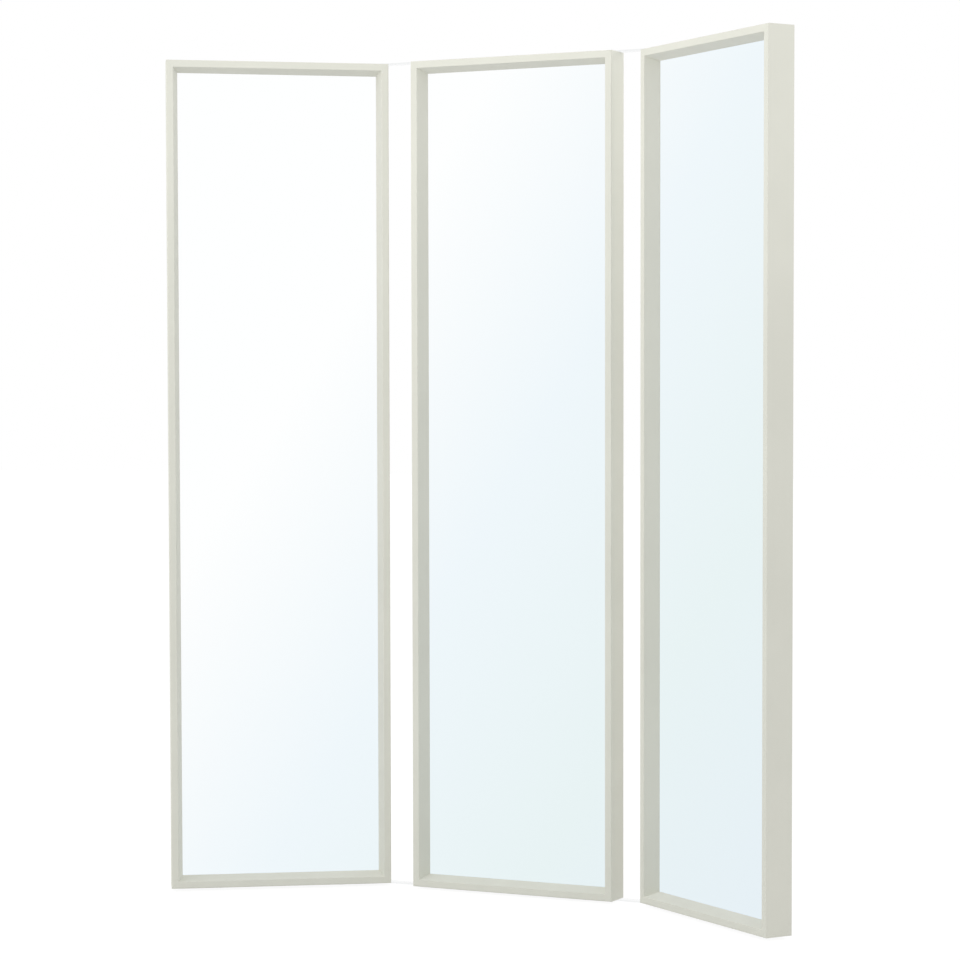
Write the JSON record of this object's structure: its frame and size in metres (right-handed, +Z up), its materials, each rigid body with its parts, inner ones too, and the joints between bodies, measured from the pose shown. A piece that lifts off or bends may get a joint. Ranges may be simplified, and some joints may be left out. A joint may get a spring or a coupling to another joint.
{
  "type": "three panel floor mirror",
  "caption": "Tall dressing mirror with a fixed middle panel and a framed wing on each side that folds forward on top and bottom pivot arms.",
  "frame": {"origin": "on the floor, at the middle of the whole part's box with the wings at their stored angle", "axes": "+X to the right seen from the front, +Y to the back, +Z up; the mirrors face -Y"},
  "size_m": [1.2192, 0.2684, 1.508],
  "materials": {
    "frame": "satin off-white foil over fibreboard moulding",
    "mirror": "polished silvered glass",
    "hardboard": "smooth brown hardboard",
    "batten_wood": "planed pine",
    "polished_aluminium": "polished flat bar",
    "stainless_steel": "turned stainless steel, polished heads",
    "zinc_steel": "zinc plated",
    "bush_plastic": "natural nylon",
    "glide_plastic": "white moulded plastic"
  },
  "bodies": {
    "middle_panel": {"middle_left_stile": "frame", "middle_right_stile": "frame", "middle_top_rail": "frame", "middle_bottom_rail": "frame", "middle_mirror_glass": "mirror", "middle_backing_board": "hardboard", "middle_top_batten": "batten_wood", "middle_bottom_batten": "batten_wood", "middle_left_batten": "batten_wood", "middle_right_batten": "batten_wood", "middle_corner_plates": "zinc_steel", "middle_corner_screws": "zinc_steel", "middle_glides": "glide_plastic", "left_top_arm": "polished_aluminium", "left_bottom_arm": "polished_aluminium", "right_top_arm": "polished_aluminium", "right_bottom_arm": "polished_aluminium", "left_pivot_pins": "stainless_steel", "right_pivot_pins": "stainless_steel", "arm_screws": "stainless_steel", "wall_hanger_plates": "zinc_steel", "wall_hanger_screws": "zinc_steel"},
    "left_wing": {"left_left_stile": "frame", "left_right_stile": "frame", "left_top_rail": "frame", "left_bottom_rail": "frame", "left_mirror_glass": "mirror", "left_backing_board": "hardboard", "left_top_batten": "batten_wood", "left_bottom_batten": "batten_wood", "left_left_batten": "batten_wood", "left_right_batten": "batten_wood", "left_corner_plates": "zinc_steel", "left_corner_screws": "zinc_steel", "left_glides": "glide_plastic", "left_pivot_bushes": "bush_plastic", "left_stop_pegs": "zinc_steel"},
    "right_wing": {"right_left_stile": "frame", "right_right_stile": "frame", "right_top_rail": "frame", "right_bottom_rail": "frame", "right_mirror_glass": "mirror", "right_backing_board": "hardboard", "right_top_batten": "batten_wood", "right_bottom_batten": "batten_wood", "right_left_batten": "batten_wood", "right_right_batten": "batten_wood", "right_corner_plates": "zinc_steel", "right_corner_screws": "zinc_steel", "right_glides": "glide_plastic", "right_pivot_bushes": "bush_plastic", "right_stop_pegs": "zinc_steel"}
  },
  "joints": [
    {"name": "left_wing_fold", "type": "hinge", "parent": "middle_panel", "child": "left_wing", "pos_m": [-0.2773, 0.1209, 0.755], "axis": [0, 0, 1], "range_deg": [-34.5, 73.5]},
    {"name": "right_wing_fold", "type": "hinge", "parent": "middle_panel", "child": "right_wing", "pos_m": [0.2773, 0.1209, 0.755], "axis": [0, 0, -1], "range_deg": [-34.5, 73.5]}
  ]
}
